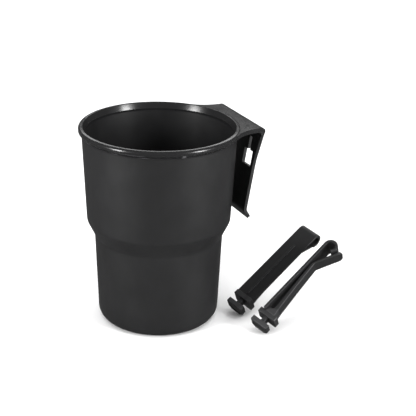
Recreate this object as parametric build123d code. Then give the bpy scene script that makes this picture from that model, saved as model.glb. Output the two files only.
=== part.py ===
from build123d import *
import os
from math import atan2, cos, hypot, radians, sin, sqrt, tan

# Hang-on cup holder with two snap-on clips. Millimetres, +Z up.
# The cup stands on the floor plane with its axis on Z, and its hook points to +X.

# ---- cup ----
CUP_HEIGHT = 118.7      # floor to the top of the rim
RIM_R = 46.0            # outside of the rim bead
RIM_DEPTH = 3.3         # height of the rim bead
RIM_EDGE = 1.5          # rounding of the bead's outer top edge
RIM_CROWN = 0.35        # the rim's top face falls this much toward the outside
MOUTH_R = 43.6          # inner edge of the rim's top face
MOUTH_BEVEL = 3.6       # height of the sloping band inside the mouth
UPPER_R_TOP = 44.2      # outside of the upper wall, just under the rim
UPPER_R_LOW = 42.1      # outside of the upper wall at the step
STEP_TOP = 62.5         # height where the conical step starts
STEP_BOTTOM = 53.2      # height where the step ends
LOWER_R_TOP = 37.7      # outside of the lower wall at the step
LOWER_R_LOW = 35.9      # outside of the lower wall at the base
BASE_ROUND = 5.6        # rounding of the base's edge
STEP_ROUND = 6.0        # rounding of both edges of the step
WALL = 1.9
FLOOR = 2.2

# ---- hook ----
HOOK_X = 55.1           # outer face of the plate, level with the rim's top
HOOK_DROP = 0.7         # flange top below the rim's top
FLANGE_T = 2.6
FLANGE_HALF = 25.2      # half width of the flange at the fold
FLANGE_BLEND = 25.0     # radius that runs the flange's sides into the rim
FOLD_R = 2.4            # outer radius of the fold
PLATE_T = 1.9
PLATE_LEAN = 9.1        # the plate leans toward the cup, degrees
PLATE_LENGTH = 52.0     # down the plate from the flange to the lip
PLATE_HALF_LOW = 21.5   # half width of the plate below the keyholes
TAPER_END = 21.0        # down the plate, where its sides become parallel
PLATE_CUT = 5.2         # depth of the line where the plate starts to flex
PLATE_GAP = 0.02        # hairline between the flange and the flexing plate
LIP_LENGTH = 6.0
LIP_ANGLE = 41.0        # the lip's turn away from the plate, degrees
KEY_OFFSET = 14.1       # keyholes each side of the middle
KEY_WINDOW_W = 9.4
KEY_WINDOW_TOP = 16.7
KEY_WINDOW_LOW = 25.9
KEY_SLOT_W = 3.0
KEY_SLOT_TOP = 8.8
KEY_ROUND = 0.7

# ---- clips (u runs from the head to the jaw's far end) ----
HEAD_P = 11.8           # long way of the T-head
HEAD_Q = 8.0
HEAD_U = 3.2
HEAD_CHAMFER = 2.2
NECK_P = 2.8
NECK_Q = 4.8
SHOULDER_U0 = 7.1       # front of the shoulder plate
SHOULDER_U1 = 10.2
ROOT_U = 14.6           # closed end of the jaw's slot
SHOULDER_P = 6.4        # half width of the shoulder plate
SHOULDER_Q_TOP = 3.8
LOW_ACROSS = 5.7        # shoulder plate below the head's middle, jaw across
LOW_UPRIGHT = 4.4       # the same, jaw upright
LEG_W = 13.2            # width of the straight leg
SPRING_W = 8.5          # width of the sprung leg
LEG_T = 1.6
CURL_ACROSS = 72.6      # far end of the curled tip, jaw across
CURL_UPRIGHT = 70.8     # the same, jaw upright
CURL_R = 4.5            # outer radius of the curl
ELBOW_U = 52.0
FLARE_U = 68.0
ROOT_DEPTH = 7.2        # jaw, over both legs, at the root
MID_U = 33.5
MID_DEPTH = 5.3
ELBOW_DEPTH = 3.8
TIP_DEPTH = 12.3
ROOT_GAP = 3.2
MID_GAP = 1.7
ELBOW_GAP = 0.3
RIB_W = 1.9
RIB_H = 0.6
RIB_U0 = 11.5
RIB_U1 = 56.5
OFFSET_ACROSS = 1.9     # outer face of the straight leg from the head's middle
OFFSET_UPRIGHT = 3.8

# ---- how the clips are held beside the cup ----
YAW_ACROSS = 13.2
YAW_UPRIGHT = 13.9
CLIP_TILT = 29.4
CLIP_ROLL = 15.1
HEAD_LIFT = 4.2
ACROSS_AT = (39.5, -25.4)
UPRIGHT_AT = (42.1, -50.7)

os.makedirs("parts", exist_ok=True)


def save(shape, name):
    shape.label = name
    export_step(shape, f"parts/{name}.step")


def unit(x, y):
    length = hypot(x, y)
    return x / length, y / length


def wall_points(inner):
    # the stations of the outside wall, or of the inside wall at one wall thickness
    off = WALL if inner else 0.0
    low = BASE_ROUND * 0.5 if inner else 0.0
    return [
        (LOWER_R_LOW - off, FLOOR if inner else 0.0),
        (LOWER_R_TOP - off, STEP_BOTTOM + low * 0.3),
        (UPPER_R_LOW - off, STEP_TOP + low * 0.3),
        (UPPER_R_TOP - off, CUP_HEIGHT - (MOUTH_BEVEL + 1.2 if inner else RIM_DEPTH + 1.3)),
    ]


# ---------------------------------------------------------------- cup body
def cup_blank():
    out = wall_points(False)
    inn = wall_points(True)
    top = CUP_HEIGHT
    with BuildSketch(Plane.XZ) as half:
        with BuildLine():
            Polyline(
                (0, 0), *out,
                (RIM_R - 0.5, top - RIM_DEPTH), (RIM_R, top - RIM_DEPTH + 0.5),
                (RIM_R, top - RIM_CROWN), (MOUTH_R, top),
                (inn[3][0] - 0.15, top - MOUTH_BEVEL), *reversed(inn), (0, FLOOR), (0, 0),
            )
        make_face()
        corner = half.vertices()

        def near(x, y):
            return [v for v in corner if abs(v.X - x) < 0.02 and abs(v.Y - y) < 0.02]

        fillet(near(*out[0]), BASE_ROUND)
        corner = half.vertices()
        fillet(near(*inn[0]), BASE_ROUND - 1.4)
        corner = half.vertices()
        for spot, r in ((out[1], STEP_ROUND), (out[2], STEP_ROUND), (inn[1], STEP_ROUND),
                        (inn[2], STEP_ROUND)):
            fillet(near(*spot), r)
            corner = half.vertices()
        fillet(near(RIM_R, top - RIM_CROWN), RIM_EDGE)
        corner = half.vertices()
        fillet(near(MOUTH_R, top), 0.5)
    return revolve(half.sketch, Axis.Z)


def flange_outline():
    # one side of the flange, from the rim to the fold, as points and an arc
    reach = RIM_R + FLANGE_BLEND
    cy = FLANGE_HALF + FLANGE_BLEND
    cx = sqrt(reach ** 2 - cy ** 2)
    on_rim = (cx * RIM_R / reach, cy * RIM_R / reach)
    a0 = atan2(-cy, -cx)
    a1 = radians(-90)
    am = (a0 + a1) / 2
    mid = (cx + FLANGE_BLEND * cos(am), cy + FLANGE_BLEND * sin(am))
    return on_rim, mid, (cx, FLANGE_HALF)


def hook_profile():
    # side view of the flange and plate in XZ: a strip that turns down at the fold
    top = CUP_HEIGHT - HOOK_DROP
    lean = radians(PLATE_LEAN)
    down = (-sin(lean), -cos(lean))
    out = (cos(lean), -sin(lean))
    corner = (HOOK_X, top)

    def at(s, off=0.0):
        return (corner[0] + down[0] * s - out[0] * off, corner[1] + down[1] * s - out[1] * off)

    turn = radians(PLATE_LEAN - LIP_ANGLE)
    lip_down = (-sin(turn), -cos(turn))
    lip_out = (cos(turn), -sin(turn))
    half = radians(LIP_ANGLE) / 2
    root_out = at(PLATE_LENGTH)
    root_in = at(PLATE_LENGTH + PLATE_T * tan(half), PLATE_T)
    tip_out = (root_out[0] + lip_down[0] * LIP_LENGTH, root_out[1] + lip_down[1] * LIP_LENGTH)
    tip_in = (tip_out[0] - lip_out[0] * PLATE_T, tip_out[1] - lip_out[1] * PLATE_T)
    inner_top = top - FLANGE_T
    inner_s = (corner[1] - inner_top - out[1] * PLATE_T) / cos(lean)
    inner_corner = at(inner_s, PLATE_T)
    with BuildSketch(Plane.XZ) as side:
        with BuildLine():
            Polyline((MOUTH_R - 12, top), corner, root_out, tip_out, tip_in, root_in, inner_corner,
                     (MOUTH_R - 12, inner_corner[1]), (MOUTH_R - 12, top))
        make_face()

        def near(p):
            return [v for v in side.vertices() if hypot(v.X - p[0], v.Y - p[1]) < 0.05]

        fillet(near(corner), FOLD_R)
        fillet(near(inner_corner), 2.2)
        fillet(near(root_out), 2.2)
        fillet(near(root_in), 3.6)
        fillet(near(tip_out) + near(tip_in), PLATE_T * 0.45)
    return side.sketch, at


def plate_sides():
    # front outline of the leaning plate, wider at the fold, with rounded lip corners
    top = CUP_HEIGHT
    low = top - PLATE_LENGTH - LIP_LENGTH - 4
    taper = top - TAPER_END
    foot = top - (PLATE_LENGTH * cos(radians(PLATE_LEAN))
                  + LIP_LENGTH * cos(radians(LIP_ANGLE - PLATE_LEAN)) + HOOK_DROP)
    with BuildSketch(Plane.YZ) as front:
        with BuildLine():
            Polyline((-FLANGE_HALF, top + 2), (-FLANGE_HALF, top - 1.5), (-PLATE_HALF_LOW, taper),
                     (-PLATE_HALF_LOW, foot), (PLATE_HALF_LOW, foot), (PLATE_HALF_LOW, taper),
                     (FLANGE_HALF, top - 1.5), (FLANGE_HALF, top + 2), (-FLANGE_HALF, top + 2))
        make_face()
        bend = [v for v in front.vertices() if abs(v.Y - taper) < 0.1]
        fillet(bend, 40)
        feet = [v for v in front.vertices() if abs(v.Y - foot) < 0.1]
        fillet(feet, 1.6)
    return front.sketch, low


def make_hook():
    side, at = hook_profile()
    strip = extrude(side, amount=40, both=True)
    front, low = plate_sides()
    plan = extrude(front, amount=40).moved(Location((40, 0, 0)))
    on_rim, mid, end = flange_outline()
    with BuildSketch(Plane.XY) as top:
        with BuildLine():
            Line((0, 0), (on_rim[0], -on_rim[1]))
            ThreePointArc((on_rim[0], -on_rim[1]), (mid[0], -mid[1]), (end[0], -end[1]))
            Polyline((end[0], -end[1]), (80, -FLANGE_HALF), (80, FLANGE_HALF), end)
            ThreePointArc(end, mid, on_rim)
            Line(on_rim, (0, 0))
        make_face()
    flange_plan = extrude(top.sketch, amount=CUP_HEIGHT + 10)
    blank = strip & flange_plan
    # below the fold only the tapered front outline counts
    wide = Pos(0, 0, CUP_HEIGHT) * Box(2 * (HOOK_X - 6), 200, 12, align=(Align.CENTER,) * 3)
    blank = (blank & plan) + (blank & wide)
    # keyholes through the leaning plate
    lean = radians(PLATE_LEAN)
    face = Plane(origin=(HOOK_X, 0, CUP_HEIGHT - HOOK_DROP), x_dir=(0, 1, 0),
                 z_dir=(cos(lean), 0, -sin(lean)))
    with BuildSketch(face) as keys:
        for side_sign in (-1, 1):
            y = side_sign * KEY_OFFSET
            mid_s = (KEY_WINDOW_TOP + KEY_WINDOW_LOW) / 2
            with Locations((y, -mid_s)):
                RectangleRounded(KEY_WINDOW_W, KEY_WINDOW_LOW - KEY_WINDOW_TOP, KEY_ROUND)
            slot_low = KEY_WINDOW_TOP + 2
            with Locations((y, -(KEY_SLOT_TOP + slot_low) / 2)):
                Rectangle(KEY_SLOT_W, slot_low - KEY_SLOT_TOP)
        tops = [v for v in keys.vertices()
                if abs(face.to_local_coords(v).Y + KEY_SLOT_TOP) < 0.05]
        fillet(tops, 0.6)
    blank -= extrude(keys.sketch, amount=6, both=True)
    return blank


def make_cup():
    blank = cup_blank()
    hook = make_hook()
    cut_z = CUP_HEIGHT - HOOK_DROP - PLATE_CUT
    above = Pos(0, 0, cut_z) * Box(300, 300, 60, align=(Align.CENTER, Align.CENTER, Align.MIN))
    below = Pos(0, 0, cut_z - PLATE_GAP) * Box(300, 300, 90, align=(Align.CENTER, Align.CENTER, Align.MAX))
    # the flange stops at the outside of the upper wall, so the mouth stays round
    core = extrude(Plane.XY * Circle(UPPER_R_TOP - 0.4), amount=CUP_HEIGHT + 5)
    flange = (hook & above) - core
    plate = hook & below
    cup = blank + flange
    return cup, plate


# ---------------------------------------------------------------- clips
def jaw_faces(curl_end):
    # side view of the jaw: (u, depth), depth grows from the straight leg's outer face
    legs = LEG_T
    with BuildSketch(Plane.XY) as straight:
        with BuildLine():
            Polyline((SHOULDER_U1 - 0.6, 0), (curl_end - CURL_R, 0))
            ThreePointArc((curl_end - CURL_R, 0), (curl_end, CURL_R), (curl_end - CURL_R, 2 * CURL_R))
            tip = (curl_end - CURL_R - 3.2, 2 * CURL_R - 1.5)
            Polyline((curl_end - CURL_R, 2 * CURL_R), tip, (tip[0] + 0.7, tip[1] - 1.4),
                     (curl_end - CURL_R, 2 * CURL_R - legs))
            ThreePointArc((curl_end - CURL_R, 2 * CURL_R - legs), (curl_end - legs, CURL_R),
                          (curl_end - CURL_R, legs))
            Polyline((curl_end - CURL_R, legs), (ROOT_U, legs), (ROOT_U, ROOT_DEPTH),
                     (SHOULDER_U1 - 0.6, ROOT_DEPTH + 0.8), (SHOULDER_U1 - 0.6, 0))
        make_face()
    with BuildSketch(Plane.XY) as slot_end:
        with Locations((ROOT_U, LEG_T + ROOT_GAP / 2)):
            Circle(ROOT_GAP / 2)
    run = (FLARE_U - ELBOW_U, TIP_DEPTH - ELBOW_DEPTH)
    ux, uy = unit(*run)
    inner_elbow = LEG_T + ELBOW_GAP
    thick = ELBOW_DEPTH - inner_elbow
    with BuildSketch(Plane.XY) as spring:
        with BuildLine():
            Polyline(
                (ROOT_U, LEG_T + ROOT_GAP), (MID_U, LEG_T + MID_GAP), (ELBOW_U - 1.0, inner_elbow),
                (FLARE_U + uy * thick * 0.9, TIP_DEPTH - ux * thick * 0.9), (FLARE_U, TIP_DEPTH),
                (ELBOW_U, ELBOW_DEPTH), (MID_U, MID_DEPTH), (ROOT_U, ROOT_DEPTH),
                (ROOT_U, LEG_T + ROOT_GAP))
        make_face()
        for spot, r in (((ELBOW_U - 1.0, inner_elbow), 1.4), ((ELBOW_U, ELBOW_DEPTH), 1.4),
                        ((FLARE_U, TIP_DEPTH), 0.8),
                        ((FLARE_U + uy * thick * 0.9, TIP_DEPTH - ux * thick * 0.9), 0.8)):
            hit = [v for v in spring.vertices() if hypot(v.X - spot[0], v.Y - spot[1]) < 0.05]
            fillet(hit, r)
    return straight.sketch - slot_end.sketch, spring.sketch


def make_clip(upright):
    straight, spring = jaw_faces(CURL_UPRIGHT if upright else CURL_ACROSS)
    body = extrude(straight, amount=LEG_W / 2, both=True)
    leg = extrude(spring, amount=SPRING_W / 2, both=True)
    # the root narrows from the straight leg's width to the sprung leg's width
    side_cut = Box(60, ROOT_DEPTH + 6, LEG_W, align=(Align.MIN, Align.MIN, Align.MIN))
    for sign in (-1, 1):
        block = Pos(SHOULDER_U1, LEG_T, 0) * side_cut
        if sign > 0:
            block = Pos(0, 0, SPRING_W / 2) * block
        else:
            block = Pos(0, 0, -SPRING_W / 2 - LEG_W) * block
        keep = Pos(ROOT_U + 6, 0, 0) * Box(80, 60, 60, align=(Align.MIN, Align.CENTER, Align.CENTER))
        body -= block - keep
    # raised rib along the outside of the straight leg
    with BuildSketch(Plane.XZ) as rib:
        with Locations(((RIB_U0 + RIB_U1) / 2, 0)):
            RectangleRounded(RIB_U1 - RIB_U0, RIB_W, RIB_W * 0.49)
    ridge = extrude(rib.sketch, amount=RIB_H + 0.4)
    ridge = Pos(0, 0.4, 0) * ridge
    body += ridge
    # stand the jaw in head coordinates: X along u, Y along -p, Z along q
    if upright:
        # depth runs along +p, the width along q
        place = Location((0, OFFSET_UPRIGHT, 0), (0, 0, 0))
        body = place * mirror(body, Plane.XZ)
        leg = place * mirror(leg, Plane.XZ)
    else:
        # depth runs along -q, the width along p
        place = Location((0, 0, OFFSET_ACROSS), (-90, 0, 0))
        body = place * body
        leg = place * leg
    low = LOW_UPRIGHT if upright else LOW_ACROSS
    mid_q = (SHOULDER_Q_TOP - low) / 2
    plate = Pos((SHOULDER_U0 + SHOULDER_U1) / 2, 0, mid_q) * Box(
        SHOULDER_U1 - SHOULDER_U0, 2 * SHOULDER_P, SHOULDER_Q_TOP + low)
    plate = fillet(plate.edges().filter_by(Axis.X), 0.9)
    plate = fillet(plate.faces().sort_by(Axis.X)[0].edges(), 0.35)
    neck = Pos((HEAD_U + SHOULDER_U0) / 2, 0, 0) * Box(
        SHOULDER_U0 - HEAD_U + 1.0, NECK_P, NECK_Q)
    head = Pos(HEAD_U / 2, 0, 0) * Box(HEAD_U, HEAD_P, HEAD_Q)
    low_edges = [e for e in head.edges().filter_by(Axis.X) if e.center().Z < 0]
    head = chamfer(low_edges, HEAD_CHAMFER)
    head = fillet(head.faces().sort_by(Axis.X)[0].edges(), 0.5)
    return body + plate + neck + head, leg


def clip_place(at, yaw):
    # head at the floor, far end raised, rolled about its own length
    return (Location((at[0], at[1], HEAD_LIFT)) * Location((0, 0, 0), (0, 0, yaw))
            * Location((0, 0, 0), (0, -CLIP_TILT, 0)) * Location((0, 0, 0), (CLIP_ROLL, 0, 0)))


cup, plate = make_cup()
save(cup, "cup_body")
save(plate, "hook_plate")
for name, upright, at, yaw in (("clip_across", False, ACROSS_AT, YAW_ACROSS),
                               ("clip_upright", True, UPRIGHT_AT, YAW_UPRIGHT)):
    body, leg = make_clip(upright)
    spot = clip_place(at, yaw)
    save(spot * body, name)
    save(spot * leg, name + "_spring_leg")
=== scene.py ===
import bpy, bmesh
from math import atan2, cos, hypot, pi, radians, sin, sqrt, tan
from mathutils import Matrix, Vector


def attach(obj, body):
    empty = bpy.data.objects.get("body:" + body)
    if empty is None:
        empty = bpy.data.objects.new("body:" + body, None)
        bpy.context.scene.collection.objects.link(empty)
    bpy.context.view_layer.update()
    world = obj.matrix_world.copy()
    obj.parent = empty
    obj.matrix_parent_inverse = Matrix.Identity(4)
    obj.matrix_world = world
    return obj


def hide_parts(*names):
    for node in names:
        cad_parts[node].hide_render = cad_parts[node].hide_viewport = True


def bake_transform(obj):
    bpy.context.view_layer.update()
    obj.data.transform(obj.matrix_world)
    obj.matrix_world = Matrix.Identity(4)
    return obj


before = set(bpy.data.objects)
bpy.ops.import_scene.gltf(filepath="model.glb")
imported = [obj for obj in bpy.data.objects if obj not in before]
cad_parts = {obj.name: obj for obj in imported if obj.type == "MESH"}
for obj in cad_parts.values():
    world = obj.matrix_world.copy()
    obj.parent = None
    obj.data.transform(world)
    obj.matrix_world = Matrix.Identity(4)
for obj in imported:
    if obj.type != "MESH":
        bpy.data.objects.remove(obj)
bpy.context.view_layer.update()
MM = 0.001

# ---- the cup, millimetres: the same driving sizes as the CAD model's ----
TOP = 118.7
RIM_R, RIM_DEPTH, RIM_CROWN = 46.0, 3.3, 0.35
MOUTH_R, MOUTH_BEVEL = 43.6, 3.6
UPPER_R_TOP, UPPER_R_LOW = 44.2, 42.1
LOWER_R_TOP, LOWER_R_LOW = 37.7, 35.9
STEP_TOP, STEP_BOTTOM = 62.5, 53.2
WALL, FLOOR = 1.9, 2.2
BASE_ROUND, STEP_ROUND, FLOOR_ROUND = 5.6, 6.0, 4.2
RIM_SLOPE, RIM_EASE = 1.3, 0.5         # underside of the rim: height of its slope, and its corner
LEDGE, LEDGE_DEPTH = 0.15, 1.2         # small ledge below the mouth's bevel
STEP_OFFSET = 0.8                      # the step sits this much higher on the inside
CUP_STEPS, WALL_RUN = 256, 9.0         # steps round the cup, least run between wall stations

# ---- flange, plate and keyholes ----
HOOK_X, HOOK_DROP, FLANGE_T, PLATE_T = 55.1, 0.7, 2.6, 1.9
FLANGE_HALF, FLANGE_BLEND = 25.2, 25.0
FLANGE_START_R, FLANGE_HALF_MAX = 44.3, 32.9   # where the flange starts inside the wall
FOLD_R, FOLD_IN = 2.4, 2.2
LEAN, LIP_ANGLE = radians(9.1), radians(41.0)
PLATE_LENGTH, PLATE_HALF_LOW = 52.0, 21.5
TAPER_START, TAPER_END, TAPER_EASE = 1.5, 21.0, 4.5
LIP_LENGTH, LIP_BEND_R = 6.0, 2.6
KEY_Y, KEY_W, KEY_TOP, KEY_LOW = 14.1, 9.4, 16.7, 25.9
SLOT_W, SLOT_TOP = 3.0, 8.8
SPREAD_FROM, SPREAD = 24.5, 0.03       # columns fan out by this much where the strip is wide
STRIP_EDGE, KEY_EDGE_SHARE = 0.55, 0.3

# ---- clips, u along the clip from the front of its head ----
HEAD_HALF_P, HEAD_HALF_Q, HEAD_U, HEAD_CHAMFER = 5.9, 4.0, 3.2, 2.2
NECK_HALF_P, NECK_HALF_Q, NECK_FROM, NECK_TO = 1.4, 2.4, 2.6, 8.0
SHOULDER_HALF_P, SHOULDER_Q_TOP, SHOULDER_ROUND = 6.4, 3.8, 0.9
SHOULDER_LOW_ACROSS, SHOULDER_LOW_UPRIGHT = -5.7, -4.4
SHOULDER_U0, SHOULDER_U1 = 7.1, 10.2
LEG_START, LEG_W, SPRING_W, LEG_T = 9.8, 13.2, 8.5, 1.6
CURL_ACROSS, CURL_UPRIGHT, CURL_R = 72.6, 70.8, 4.5
ROOT_U, MID_U, ELBOW_U, FLARE_U = 14.6, 33.5, 52.0, 68.0
ROOT_DEPTH, MID_DEPTH, ELBOW_DEPTH, TIP_DEPTH = 7.2, 5.3, 3.8, 12.3
ROOT_GAP, MID_GAP, ELBOW_GAP = 3.2, 1.7, 0.3
RIB_U0, RIB_U1, RIB_HALF, RIB_H, RIB_SINK = 11.5, 56.5, 0.95, 0.6, 0.2
OFFSET_ACROSS, OFFSET_UPRIGHT = 1.9, 3.8
SPRING_ROUND = 2.6                     # corners of the sprung leg's far end
BODY_EDGE, SPRING_EDGE, EDGE_ANGLE = 0.3, 0.45, 38
CLIP_TILT, CLIP_ROLL, HEAD_LIFT = 29.4, 15.1, 4.2
# name, whether the jaw stands upright, place of the head on the floor, turn about it
CLIPS = (("clip_across", False, (39.5, -25.4), 13.2),
         ("clip_upright", True, (42.1, -50.7), 13.9))

# ---- stage, metres ----
AIM = Vector((0.0335, 0.0024, 0.0607))
EYE = Vector((-0.21374, -0.48006, 0.29347))
CAMERA_ROLL, CAMERA_LENS, CAMERA_SENSOR = 1.69, 84.25, 36
WORLD_LIGHT, FLOOR_HALF = 0.14, 6.0


# ------------------------------------------------------------------ helpers
def new_object(name, verts, faces, weld=True):
    mesh = bpy.data.meshes.new(name)
    mesh.from_pydata([tuple(c * MM for c in v) for v in verts], [], faces)
    bm = bmesh.new()
    bm.from_mesh(mesh)
    if weld:
        bmesh.ops.remove_doubles(bm, verts=bm.verts, dist=1e-6)
    bmesh.ops.recalc_face_normals(bm, faces=bm.faces)
    for face in bm.faces:
        face.smooth = True
    bm.to_mesh(mesh)
    bm.free()
    obj = bpy.data.objects.new(name, mesh)
    bpy.context.scene.collection.objects.link(obj)
    return obj


def settle(obj):
    # applies every modifier, so that the mesh is final
    bpy.context.view_layer.update()
    graph = bpy.context.evaluated_depsgraph_get()
    mesh = bpy.data.meshes.new_from_object(obj.evaluated_get(graph))
    old = obj.data
    obj.modifiers.clear()
    obj.data = mesh
    bpy.data.meshes.remove(old)
    return obj


def bevel(obj, width, segments, angle, weigh=None):
    # rounds every edge sharper than angle; weigh(point in mm) can make some of them smaller
    bm = bmesh.new()
    bm.from_mesh(obj.data)
    layer = bm.edges.layers.float.new("bevel_weight_edge")
    for edge in bm.edges:
        if len(edge.link_faces) == 2 and edge.calc_face_angle(0) > radians(angle):
            middle = (edge.verts[0].co + edge.verts[1].co) / (2 * MM)
            edge[layer] = weigh(middle) if weigh else 1.0
    bm.to_mesh(obj.data)
    bm.free()
    rounding = obj.modifiers.new("bevel", "BEVEL")
    rounding.width = width * MM
    rounding.segments = segments
    rounding.limit_method = "WEIGHT"
    rounding.use_clamp_overlap = True
    rounding.harden_normals = False
    normals = obj.modifiers.new("normals", "WEIGHTED_NORMAL")
    normals.keep_sharp = True
    normals.weight = 60
    return settle(obj)


def arc(cx, cy, r, a0, a1, n):
    return [(cx + r * cos(radians(a0 + (a1 - a0) * i / n)),
             cy + r * sin(radians(a0 + (a1 - a0) * i / n))) for i in range(n + 1)]


def rounded(points, radii, n, closed=False):
    # a polyline with each corner replaced by an arc of its radius
    out = []
    count = len(points)
    for i, (p, r) in enumerate(zip(points, radii)):
        if r <= 0 or (not closed and i in (0, count - 1)):
            out.append(p)
            continue
        a, b = Vector(points[i - 1]), Vector(points[(i + 1) % count])
        corner = Vector(p)
        u, v = (a - corner).normalized(), (b - corner).normalized()
        half = u.angle(v) / 2
        reach = r / tan(half)
        centre = corner + (u + v).normalized() * (r / sin(half))
        start, end = corner + u * reach - centre, corner + v * reach - centre
        turn = start.angle(end)
        side = 1 if start.cross(end) > 0 else -1
        first = atan2(start.y, start.x)
        for k in range(n + 1):
            t = first + side * turn * k / n
            out.append((centre.x + r * cos(t), centre.y + r * sin(t)))
    return out


def divided(line, counts):
    # the line with each of its runs cut into its number of equal steps
    out = [line[0]]
    for a, b, k in zip(line, line[1:], counts):
        out += [(a[0] + (b[0] - a[0]) * i / k, a[1] + (b[1] - a[1]) * i / k)
                for i in range(1, k + 1)]
    return out


# ------------------------------------------------------------------ the cup
def cup_profile():
    # each corner's (radius, height) and rounding: up the outside, over the rim, down the inside
    rim_low, bevel_low = TOP - RIM_DEPTH, TOP - MOUTH_BEVEL
    corners = [
        ((0, 0), 0),
        ((LOWER_R_LOW, 0), BASE_ROUND),
        ((LOWER_R_TOP, STEP_BOTTOM), STEP_ROUND),
        ((UPPER_R_LOW, STEP_TOP), STEP_ROUND),
        ((UPPER_R_TOP, rim_low - RIM_SLOPE), 0.5),
        ((RIM_R - RIM_EASE, rim_low), 0.35),
        ((RIM_R, rim_low + RIM_EASE), 0.3),
        ((RIM_R, TOP - RIM_CROWN), 1.5),
        ((MOUTH_R, TOP), 0.5),
        ((UPPER_R_TOP - WALL - LEDGE, bevel_low), 0.5),
        ((UPPER_R_TOP - WALL, bevel_low - LEDGE_DEPTH), 0.4),
        ((UPPER_R_LOW - WALL, STEP_TOP + STEP_OFFSET), STEP_ROUND),
        ((LOWER_R_TOP - WALL, STEP_BOTTOM + STEP_OFFSET), STEP_ROUND),
        ((LOWER_R_LOW - WALL, FLOOR), FLOOR_ROUND),
        ((0, FLOOR), 0)]
    points, radii = zip(*corners)
    return rounded(points, radii, 7)


def lathe(name, profile, steps):
    verts, faces = [], []
    n = len(profile)
    for k in range(steps):
        a = 2 * pi * k / steps
        for r, z in profile:
            verts.append((r * cos(a), r * sin(a), z))
    for k in range(steps):
        for i in range(n - 1):
            a, b = k * n + i, ((k + 1) % steps) * n + i
            if profile[i][0] < 1e-6:
                faces.append((a, a + 1, b + 1))
            elif profile[i + 1][0] < 1e-6:
                faces.append((a, a + 1, b))
            else:
                faces.append((a, a + 1, b + 1, b))
    return new_object(name, verts, faces)


def make_cup():
    # the long straight runs get stations, so that the shading stays even
    profile = cup_profile()
    counts = [max(1, int(hypot(b[0] - a[0], b[1] - a[1]) // WALL_RUN))
              for a, b in zip(profile, profile[1:])]
    return lathe("cup_shell", divided(profile, counts), CUP_STEPS)


# ------------------------------------------------------------------ flange, fold, plate and lip
def flange_half(x):
    # half width of the flange at x, running into the rim with an arc
    reach = RIM_R + FLANGE_BLEND
    cy = FLANGE_HALF + FLANGE_BLEND
    cx = sqrt(reach ** 2 - cy ** 2)
    if x >= cx:
        return FLANGE_HALF
    return cy - sqrt(max(0.0, FLANGE_BLEND ** 2 - (cx - x) ** 2))


def plate_half(s):
    # half width of the plate, s down from the top: a taper that eases into parallel sides
    drop = s * cos(LEAN)
    if drop < TAPER_START:
        return FLANGE_HALF
    if drop > TAPER_END + TAPER_EASE:
        return PLATE_HALF_LOW
    slope = (FLANGE_HALF - PLATE_HALF_LOW) / (TAPER_END - TAPER_START)
    if drop > TAPER_END - TAPER_EASE:
        t = (drop - TAPER_END + TAPER_EASE) / (2 * TAPER_EASE)
        straight = TAPER_END - TAPER_EASE - TAPER_START
        return FLANGE_HALF - slope * (straight + 2 * TAPER_EASE * (t - t * t / 2))
    return FLANGE_HALF - slope * (drop - TAPER_START)


def strip_section():
    # stations down the strip: outer (x, z), inner (x, z), s down the plate where it has one,
    # and what the lip's round corners take off each side
    top = TOP - HOOK_DROP
    down = (-sin(LEAN), -cos(LEAN))
    out = (cos(LEAN), -sin(LEAN))
    rows = []
    # fold: an outer and an inner arc, each between the flange and the leaning plate
    turn = pi / 2 + LEAN
    back, back_in = FOLD_R * tan(turn / 2), FOLD_IN * tan(turn / 2)
    s_in = (FLANGE_T + PLATE_T * sin(LEAN)) / cos(LEAN)
    x_in = HOOK_X + down[0] * s_in - out[0] * PLATE_T
    fold_steps = 13
    for k in range(fold_steps + 1):
        a = turn * k / fold_steps
        outer = (HOOK_X - back + FOLD_R * sin(a), top - FOLD_R + FOLD_R * cos(a))
        inner = (x_in - back_in + FOLD_IN * sin(a), top - FLANGE_T - FOLD_IN + FOLD_IN * cos(a))
        rows.append((outer, inner, None, 0.0))

    def plate_row(x, z, nx, nz, s, trim=0.0):
        rows.append(((x, z), (x - nx * PLATE_T, z - nz * PLATE_T), s, trim))

    # plate: close stations by the fold, and one level with each edge of the keyholes
    marks = [5.7, 6.4, 7.2, 8.0, SLOT_TOP, 10.6, 12.6, 14.8, KEY_TOP, 18.5, 20.8, 23.2, KEY_LOW,
             27.5, 30.0, 33.0, 37.0, 41.0, 45.0, 48.5]
    for s in marks:
        plate_row(HOOK_X + down[0] * s, top + down[1] * s, out[0], out[1], s)
    # lip: a bend of its own, then a straight run to the tip
    tangent = LIP_BEND_R * tan(LIP_ANGLE / 2)
    start = PLATE_LENGTH - tangent
    ox = HOOK_X + down[0] * start + out[0] * LIP_BEND_R
    oz = top + down[1] * start + out[1] * LIP_BEND_R
    bend_steps = 6
    for k in range(bend_steps + 1):
        a = LEAN - LIP_ANGLE * k / bend_steps
        plate_row(ox - LIP_BEND_R * cos(a), oz + LIP_BEND_R * sin(a), cos(a), -sin(a), PLATE_LENGTH)
    a = LEAN - LIP_ANGLE
    bx, bz = rows[-1][0]
    run = LIP_LENGTH - tangent
    for t, trim in ((0.35, 0.0), (0.7, 0.15), (0.88, 0.6), (1.0, 1.3)):
        plate_row(bx - sin(a) * run * t, bz - cos(a) * run * t, cos(a), -sin(a), PLATE_LENGTH, trim)
    return rows


def strip_columns():
    # ("w", share of the half width) for the edges, ("y", place) for the keyholes and between
    edges = [-1.0, -0.965, -0.93]
    key_sides = [-KEY_Y - KEY_W / 2, -KEY_Y - SLOT_W / 2, -KEY_Y + SLOT_W / 2, -KEY_Y + KEY_W / 2]
    middle = [-5.6, -2.8, 0.0, 2.8, 5.6]
    columns = [("w", e) for e in edges] + [("y", y) for y in key_sides + middle]
    columns += [("y", -y) for y in reversed(key_sides)] + [("w", -e) for e in reversed(edges)]
    return columns


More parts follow.
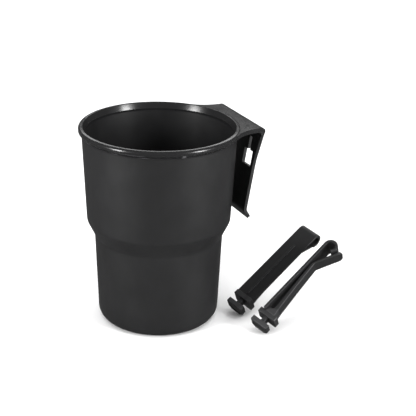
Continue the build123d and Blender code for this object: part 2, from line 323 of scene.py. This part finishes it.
def column_y(column, half):
    kind, value = column
    if kind == "w":
        return value * half
    return value * (1 + max(0.0, half - SPREAD_FROM) * SPREAD)


def flange_point(column, share, x_end):
    # a point that share of the way from the cup's wall to the fold; the half width follows
    # from x and x from the half width, so a few rounds settle both
    half = FLANGE_HALF_MAX
    for _ in range(7):
        y = column_y(column, half)
        x_start = sqrt(max(0.0, FLANGE_START_R ** 2 - y * y))
        x = x_start + (x_end - x_start) * share
        half = min(FLANGE_HALF_MAX, flange_half(x))
    return x, y


def in_keyhole(y, s_from, s_to):
    off = abs(abs(y) - KEY_Y)
    slack = 0.01
    in_slot = off < SLOT_W / 2 and SLOT_TOP - slack < s_from and s_to < KEY_TOP + slack
    in_window = off < KEY_W / 2 and KEY_TOP - slack < s_from and s_to < KEY_LOW + slack
    return in_slot or in_window


def key_edge_weight(p):
    # the keyholes' edges are crisper than the strip's own
    near_y = abs(abs(p.y) - KEY_Y) < KEY_W / 2 + 0.3
    near_z = TOP - KEY_LOW - 1.5 < p.z < TOP - SLOT_TOP
    return KEY_EDGE_SHARE if near_y and near_z else 1.0


def make_hook():
    top = TOP - HOOK_DROP
    rows = strip_section()
    columns = strip_columns()
    outer, inner = [], []
    # flange rows, from inside the wall to just before the fold
    x_end = rows[0][1][0] - 0.35
    flange_steps = 9
    for j in range(flange_steps + 1):
        line = [flange_point(c, j / flange_steps, x_end) for c in columns]
        outer.append([(x, y, top) for x, y in line])
        inner.append([(x, y, top - FLANGE_T) for x, y in line])
    for (x, z), (ix, iz), s, trim in rows:
        half = plate_half(s or 0) - trim
        outer.append([(x, column_y(c, half), z) for c in columns])
        inner.append([(ix, column_y(c, half), iz) for c in columns])
    s_of = [None] * (flange_steps + 1) + [row[2] for row in rows]
    nr, nc = len(outer), len(columns)
    verts = [p for line in outer + inner for p in line]
    shift = nr * nc

    def hole(i, j):
        if s_of[i] is None or s_of[i + 1] is None:
            return False
        return in_keyhole((outer[i][j][1] + outer[i][j + 1][1]) / 2, s_of[i], s_of[i + 1])

    solid = {(i, j) for i in range(nr - 1) for j in range(nc - 1) if not hole(i, j)}
    faces = []
    for i, j in solid:
        a, b, c, d = i * nc + j, i * nc + j + 1, (i + 1) * nc + j + 1, (i + 1) * nc + j
        faces.append((a, b, c, d))
        faces.append((d + shift, c + shift, b + shift, a + shift))
        beside = (((-1, 0), (a, b)), ((1, 0), (c, d)), ((0, -1), (d, a)), ((0, 1), (b, c)))
        for (di, dj), (p, q) in beside:
            if (i + di, j + dj) not in solid:
                faces.append((q, p, p + shift, q + shift))
    obj = new_object("hook_strip", verts, faces)
    return bevel(obj, STRIP_EDGE, 4, 40, key_edge_weight)


# ------------------------------------------------------------------ clips
def jaw_swap(upright):
    # (u, depth, width) to head coordinates (X along u, Y along -p, Z along q)
    if upright:
        return lambda u, d, w: (u, OFFSET_UPRIGHT - d, w)
    return lambda u, d, w: (u, w, OFFSET_ACROSS - d)


def clip_matrix(at, yaw):
    turn = Matrix.Rotation(radians(yaw), 4, "Z") @ Matrix.Rotation(radians(-CLIP_TILT), 4, "Y")
    turn = turn @ Matrix.Rotation(radians(CLIP_ROLL), 4, "X")
    return Matrix.Translation(Vector((at[0], at[1], HEAD_LIFT)) * MM) @ turn


def loft(rings):
    # a closed body through matching rings of points, with a flat cap at each end
    n = len(rings[0])
    last = (len(rings) - 1) * n
    verts = [p for ring in rings for p in ring]
    faces = [tuple(range(n)), tuple(reversed(range(last, last + n)))]
    for k in range(0, last, n):
        faces += [(k + i, k + (i + 1) % n, k + (i + 1) % n + n, k + i + n) for i in range(n)]
    return verts, faces


def ribbon(outer, inner, half, swap, round_end=0.0):
    # a strip between two matching lines of (u, depth), as quads;
    # the corners of its far end can be rounded in width
    m = len(outer)
    end_u, end_depth = outer[-1]
    halves = []
    for u, d in outer:
        past = max(0.0, round_end - hypot(end_u - u, end_depth - d))
        lost = round_end - sqrt(round_end ** 2 - past ** 2)
        halves.append(half - lost)
    cuts = (-1.0, -0.5, 0.0, 0.5, 1.0)
    verts, faces = [], []
    for c in cuts:
        verts += [swap(u, d, h * c) for (u, d), h in zip(outer, halves)]
        verts += [swap(u, d, h * c) for (u, d), h in zip(inner, halves)]
    block = 2 * m
    last = (len(cuts) - 1) * block
    for o in range(0, last, block):
        p = o + block
        for i in range(m - 1):
            faces.append((o + i, o + i + 1, p + i + 1, p + i))
            faces.append((o + m + i + 1, o + m + i, p + m + i, p + m + i + 1))
        faces.append((o + m, o, p, p + m))
        faces.append((o + m - 1, o + 2 * m - 1, p + 2 * m - 1, p + m - 1))
    for i in range(m - 1):
        faces.append((i + 1, i, m + i, m + i + 1))
        faces.append((last + i, last + i + 1, last + m + i + 1, last + m + i))
    return verts, faces


def merged(name, parts):
    verts, faces = [], []
    for part_verts, part_faces in parts:
        k = len(verts)
        verts += part_verts
        faces += [tuple(i + k for i in face) for face in part_faces]
    return new_object(name, verts, faces, weld=False)


def clip_head():
    # a bar with its two lower corners cut, and a dished front
    p, q, c = HEAD_HALF_P, HEAD_HALF_Q, HEAD_CHAMFER
    outline = [(-p, q), (p, q), (p, -q + c), (p - c, -q), (-p + c, -q), (-p, -q + c)]
    stations = ((HEAD_U, 1.0), (0.35, 1.0), (0.0, 0.94), (0.0, 0.80), (0.45, 0.74))
    return loft([[(u, y * k, z * k) for y, z in outline] for u, k in stations])


def clip_neck():
    p, q = NECK_HALF_P, NECK_HALF_Q
    outline = [(-p, -q), (p, -q), (p, q), (-p, q)]
    return loft([[(u, y, z) for y, z in outline] for u in (NECK_FROM, NECK_TO)])


def clip_shoulder(low):
    p, q = SHOULDER_HALF_P, SHOULDER_Q_TOP
    outline = rounded([(-p, q), (p, q), (p, low), (-p, low)], [SHOULDER_ROUND] * 4, 4, True)
    return loft([[(u, y, z) for y, z in outline] for u in (SHOULDER_U0, SHOULDER_U1)])


def clip_leg(curl_end, swap):
    # the straight leg with its curled tip
    centre = curl_end - CURL_R
    leg_steps, curl_steps = 19, 20

    def face(depth):
        curl = arc(centre, CURL_R, CURL_R - depth, -90, 90, curl_steps)[1:]
        return divided([(LEG_START, depth), (centre, depth)], [leg_steps]) + curl

    outer, inner = face(0), face(LEG_T)
    for back, fall in ((1.6, 0.65), (3.1, 1.4)):
        outer.append((centre - back, 2 * CURL_R - fall))
        inner.append((centre - back * 0.78, 2 * CURL_R - LEG_T - fall * 0.85))
    return ribbon(outer, inner, LEG_W / 2, swap)


def clip_root(swap):
    # root of the jaw, with the slot's round end
    slot = arc(ROOT_U, LEG_T + ROOT_GAP / 2, ROOT_GAP / 2, 270, 90, 12)
    outline = [(LEG_START, 0.5), (ROOT_U, 0.5)] + slot
    outline += [(ROOT_U, ROOT_DEPTH), (LEG_START, ROOT_DEPTH + 0.75)]
    return loft([[swap(u, d, w) for u, d in outline] for w in (-SPRING_W / 2, SPRING_W / 2)])


def clip_rib(swap):
    # the raised rib, with rounded ends and sloping sides
    def ring(depth, inset, end_inset, round_r):
        h, u0, u1 = RIB_HALF - inset, RIB_U0 + end_inset, RIB_U1 - end_inset
        outline = rounded([(u0, -h), (u1, -h), (u1, h), (u0, h)], [round_r] * 4, 5, True)
        return [swap(u, depth, w) for u, w in outline]

    return loft([ring(RIB_SINK, 0.0, 0.0, 0.9), ring(-RIB_H, 0.35, 0.3, 0.56)])


def clip_spring(swap):
    # the sprung leg, which starts inside the root
    run = Vector((FLARE_U - ELBOW_U, TIP_DEPTH - ELBOW_DEPTH)).normalized()
    thick = (ELBOW_DEPTH - LEG_T - ELBOW_GAP) * 0.9
    tip = (FLARE_U + run.y * thick, TIP_DEPTH - run.x * thick)
    outer = [(ROOT_U - 1.2, ROOT_DEPTH + 0.12), (ROOT_U, ROOT_DEPTH), (MID_U, MID_DEPTH),
             (ELBOW_U, ELBOW_DEPTH), (FLARE_U, TIP_DEPTH)]
    inner = [(ROOT_U - 1.2, LEG_T + ROOT_GAP + 0.9), (ROOT_U, LEG_T + ROOT_GAP),
             (MID_U, LEG_T + MID_GAP), (ELBOW_U - 1.0, LEG_T + ELBOW_GAP), tip]
    steps = (2, 12, 12, 16)
    return ribbon(divided(outer, steps), divided(inner, steps), SPRING_W / 2, swap, SPRING_ROUND)


def make_clip(name, upright, at, yaw):
    swap = jaw_swap(upright)
    matrix = clip_matrix(at, yaw)
    low = SHOULDER_LOW_UPRIGHT if upright else SHOULDER_LOW_ACROSS
    curl_end = CURL_UPRIGHT if upright else CURL_ACROSS
    body = merged(name + "_body", [clip_head(), clip_neck(), clip_shoulder(low),
                                   clip_leg(curl_end, swap), clip_root(swap), clip_rib(swap)])
    spring = merged(name + "_spring", [clip_spring(swap)])
    bevel(body, BODY_EDGE, 3, EDGE_ANGLE)
    bevel(spring, SPRING_EDGE, 3, EDGE_ANGLE)
    for obj in (body, spring):
        obj.data.transform(matrix)
        obj.data.update()
    return body, spring, matrix, swap


cup = make_cup()
hook = make_hook()
clips = {}
for name, upright, at, yaw in CLIPS:
    clips[name] = make_clip(name, upright, at, yaw)


# ------------------------------------------------------------------ materials
def noise_node(tree, coords, scale, detail):
    noise = tree.nodes.new("ShaderNodeTexNoise")
    noise.inputs["Scale"].default_value = scale
    noise.inputs["Detail"].default_value = detail
    tree.links.new(coords.outputs["Object"], noise.inputs["Vector"])
    return noise


def ramp_node(tree, source, low, high):
    # low and high are each a position and a colour
    ramp = tree.nodes.new("ShaderNodeValToRGB")
    for element, (position, colour) in zip(ramp.color_ramp.elements, (low, high)):
        element.position = position
        element.color = colour
    tree.links.new(source, ramp.inputs["Fac"])
    return ramp


def range_node(tree, source, from_low, from_high, to_low, to_high):
    remap = tree.nodes.new("ShaderNodeMapRange")
    remap.inputs["From Min"].default_value = from_low
    remap.inputs["From Max"].default_value = from_high
    remap.inputs["To Min"].default_value = to_low
    remap.inputs["To Max"].default_value = to_high
    tree.links.new(source, remap.inputs["Value"])
    return remap


def moulded(name, shade, rough, grain, edge_sheen_and_wear, polish=0.0):
    # satin plastic: shade and roughness, scale of the grain, paleness of the edges (a painted
    # highlight with a little wear), and how much smoother the rim's height is than the rest
    mat = bpy.data.materials.new(name)
    mat.use_nodes = True
    tree = mat.node_tree
    nodes, links = tree.nodes, tree.links
    shader = nodes["Principled BSDF"]
    shader.inputs["IOR"].default_value = 1.47
    shader.inputs["Specular IOR Level"].default_value = 0.5
    coords = nodes.new("ShaderNodeTexCoord")
    # slow cloudiness of the pigment
    cloud = noise_node(tree, coords, 38, 3)
    dark = (shade * 0.85, shade * 0.85, shade * 0.88, 1)
    pale = (shade * 1.15, shade * 1.15, shade * 1.2, 1)
    tint = ramp_node(tree, cloud.outputs["Fac"], (0.3, dark), (0.75, pale))
    # painted highlight: sharp edges are painted paler as bright edge lines, with a little wear
    shape = nodes.new("ShaderNodeNewGeometry")
    edge = ramp_node(tree, shape.outputs["Pointiness"], (0.53, (0, 0, 0, 1)),
                     (0.62, (edge_sheen_and_wear, edge_sheen_and_wear, edge_sheen_and_wear, 1)))
    mix = nodes.new("ShaderNodeMix")
    mix.data_type = "RGBA"
    links.new(edge.outputs["Color"], mix.inputs["Factor"])
    links.new(tint.outputs["Color"], mix.inputs["A"])
    # colour of the painted edge highlight
    mix.inputs["B"].default_value = (0.13, 0.13, 0.135, 1)
    links.new(mix.outputs["Result"], shader.inputs["Base Color"])
    # gloss that varies softly, and is higher on the top few millimetres
    patch = noise_node(tree, coords, 90, 5)
    gloss = range_node(tree, patch.outputs["Fac"], 0.3, 0.7, rough - 0.035, rough + 0.045)
    split = nodes.new("ShaderNodeSeparateXYZ")
    links.new(coords.outputs["Object"], split.inputs["Vector"])
    band = range_node(tree, split.outputs["Z"], (TOP - 5.5) * MM, (TOP - 3.2) * MM, 0.0, polish)
    shine = nodes.new("ShaderNodeMath")
    shine.operation = "SUBTRACT"
    links.new(gloss.outputs["Result"], shine.inputs[0])
    links.new(band.outputs["Result"], shine.inputs[1])
    links.new(shine.outputs["Value"], shader.inputs["Roughness"])
    # fine spark-eroded texture
    fine = noise_node(tree, coords, grain, 4)
    fine.inputs["Roughness"].default_value = 0.62
    bump = nodes.new("ShaderNodeBump")
    bump.inputs["Strength"].default_value = 0.22
    bump.inputs["Distance"].default_value = 0.00005
    links.new(fine.outputs["Fac"], bump.inputs["Height"])
    links.new(bump.outputs["Normal"], shader.inputs["Normal"])
    return mat


def dress(obj, mat):
    obj.data.materials.clear()
    obj.data.materials.append(mat)


# the hook's edges get none of the painted edge highlight and wear
clip_mat = moulded("clip_plastic", 0.012, 0.48, 3000, 0.45)
dress(cup, moulded("cup_plastic", 0.011, 0.42, 2600, 0.5, 0.2))
dress(hook, moulded("hook_plastic", 0.011, 0.42, 2600, 0.0, 0.2))
for body, spring, *_ in clips.values():
    dress(body, clip_mat)
    dress(spring, clip_mat)


# ------------------------------------------------------------------ riding on the CAD bodies
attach(cup, "cup")
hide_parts("cup_body")
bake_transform(hook)
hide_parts("hook_plate")
for name, body_name in (("clip_across", "across"), ("clip_upright", "upright")):
    body, spring, matrix, swap = clips[name]
    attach(body, body_name)
    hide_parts(name)
    bend_from = matrix @ (Vector(swap(ROOT_U - 0.3, 6.0, 0)) * MM)
    bend_to = matrix @ (Vector(swap(ROOT_U + 9.0, 5.4, 0)) * MM)
    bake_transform(spring)
    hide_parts(name + "_spring_leg")


# ------------------------------------------------------------------ stage, lights and camera
def make_floor():
    h = FLOOR_HALF
    mesh = bpy.data.meshes.new("floor")
    mesh.from_pydata([(-h, -h, 0), (h, -h, 0), (h, h, 0), (-h, h, 0)], [], [(0, 1, 2, 3)])
    obj = bpy.data.objects.new("floor", mesh)
    bpy.context.scene.collection.objects.link(obj)
    mat = bpy.data.materials.new("paper")
    mat.use_nodes = True
    shader = mat.node_tree.nodes["Principled BSDF"]
    shader.inputs["Base Color"].default_value = (0.93, 0.93, 0.93, 1)
    shader.inputs["Roughness"].default_value = 0.9
    mesh.materials.append(mat)
    # the floor stays out of reflections, so that the object's edges stay dark
    obj.visible_glossy = False


def make_world():
    world = bpy.data.worlds.new("studio")
    bpy.context.scene.world = world
    world.use_nodes = True
    background = world.node_tree.nodes["Background"]
    background.inputs["Color"].default_value = (1, 1, 1, 1)
    background.inputs["Strength"].default_value = WORLD_LIGHT


def make_camera():
    data = bpy.data.cameras.new("camera")
    camera = bpy.data.objects.new("camera", data)
    bpy.context.scene.collection.objects.link(camera)
    camera.location = EYE
    look = (AIM - EYE).to_track_quat("-Z", "Y").to_matrix()
    camera.rotation_euler = (look @ Matrix.Rotation(radians(CAMERA_ROLL), 3, "Z")).to_euler()
    data.lens = CAMERA_LENS
    data.sensor_width = CAMERA_SENSOR
    data.clip_start = 0.01
    bpy.context.scene.camera = camera


def spot(side, back, up):
    # a place named from the camera's side: to its right, away from it, and up
    view = AIM - EYE
    away = Vector((view.x, view.y, 0)).normalized()
    right = Vector((away.y, -away.x, 0))
    return right * side + away * back + Vector((0, 0, up))


def soft_light(name, where, look, size, power):
    data = bpy.data.lights.new(name, "AREA")
    data.shape = "RECTANGLE"
    data.size, data.size_y = size
    data.energy = power
    obj = bpy.data.objects.new(name, data)
    obj.location = where
    aim = Vector(look) - where
    obj.rotation_euler = aim.to_track_quat("-Z", "Y").to_euler()
    bpy.context.scene.collection.objects.link(obj)
    return obj


make_floor()
make_world()
make_camera()
# two tall boxes give the cup its upright highlights; the big one overhead lights floor and
# object without showing in their gloss; the one behind shines on the rim and the flange
soft_light("key_left", spot(-0.74, -0.52, 0.30), (0, 0, 0.08), (0.20, 0.50), 10.5)
soft_light("key_right", spot(0.78, -0.46, 0.30), (0, 0, 0.08), (0.20, 0.50), 10.5)
over = soft_light("over", spot(0.0, 0.1, 1.50), (0, 0.1, 0.0), (2.4, 2.4), 38.0)
over.visible_glossy = False
soft_light("back", spot(0.0, 1.10, 0.80), (0, 0, 0.1), (1.3, 0.3), 4.5)
bpy.context.scene.view_settings.view_transform = "Standard"
